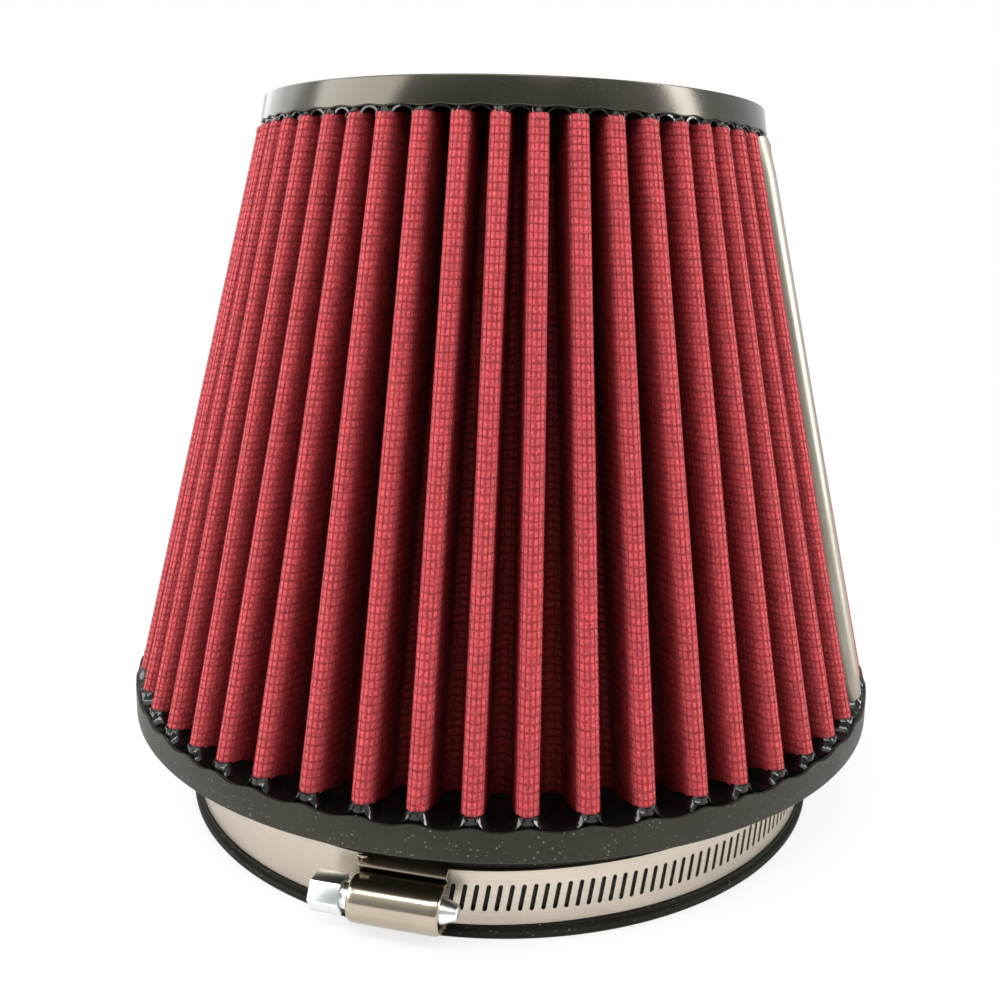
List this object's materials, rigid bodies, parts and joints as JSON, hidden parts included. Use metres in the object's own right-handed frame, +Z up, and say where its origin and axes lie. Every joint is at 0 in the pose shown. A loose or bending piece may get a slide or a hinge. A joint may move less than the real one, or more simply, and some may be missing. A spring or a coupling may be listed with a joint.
{
  "type": "cone air filter",
  "caption": "Conical clamp-on engine air filter: pleated oiled cotton between wire screens, moulded rubber end cap and collar, held on its pipe by a worm-drive band clamp.",
  "frame": {"origin": "on the filter's axis, at the lower face of the collar's lip", "axes": "+Z up the axis from the collar to the closed cap; -Y towards the front of the picture; +X to its right"},
  "size_m": [0.1906, 0.1906, 0.1733],
  "materials": {
    "cap_rubber": "smooth satin black moulding",
    "flange_rubber": "matt speckled black moulding, glossy where the pleats are set",
    "outer_wire": "fine dark coated wire mesh",
    "oiled_cotton": "woven cotton gauze wet with red oil",
    "inner_wire": "fine dark coated wire mesh",
    "seam_metal": "plain folded strip",
    "band_steel": "satin stainless strip",
    "housing_steel": "polished stainless pressing",
    "screw_zinc": "bright zinc plating"
  },
  "bodies": {
    "filter": {"top_cap": "cap_rubber", "base_flange": "flange_rubber", "outer_screen": "outer_wire", "cotton_media": "oiled_cotton", "inner_screen": "inner_wire", "seam_strip": "seam_metal", "clamp_band": "band_steel", "clamp_housing": "housing_steel"},
    "screw": {"worm_screw": "screw_zinc"}
  },
  "joints": [
    {"name": "clamp_screw_turn", "type": "hinge", "parent": "filter", "child": "screw", "pos_m": [-0.02042, -0.08313, 0.009], "axis": [0.9711, -0.2385, 0], "continuous": true}
  ]
}
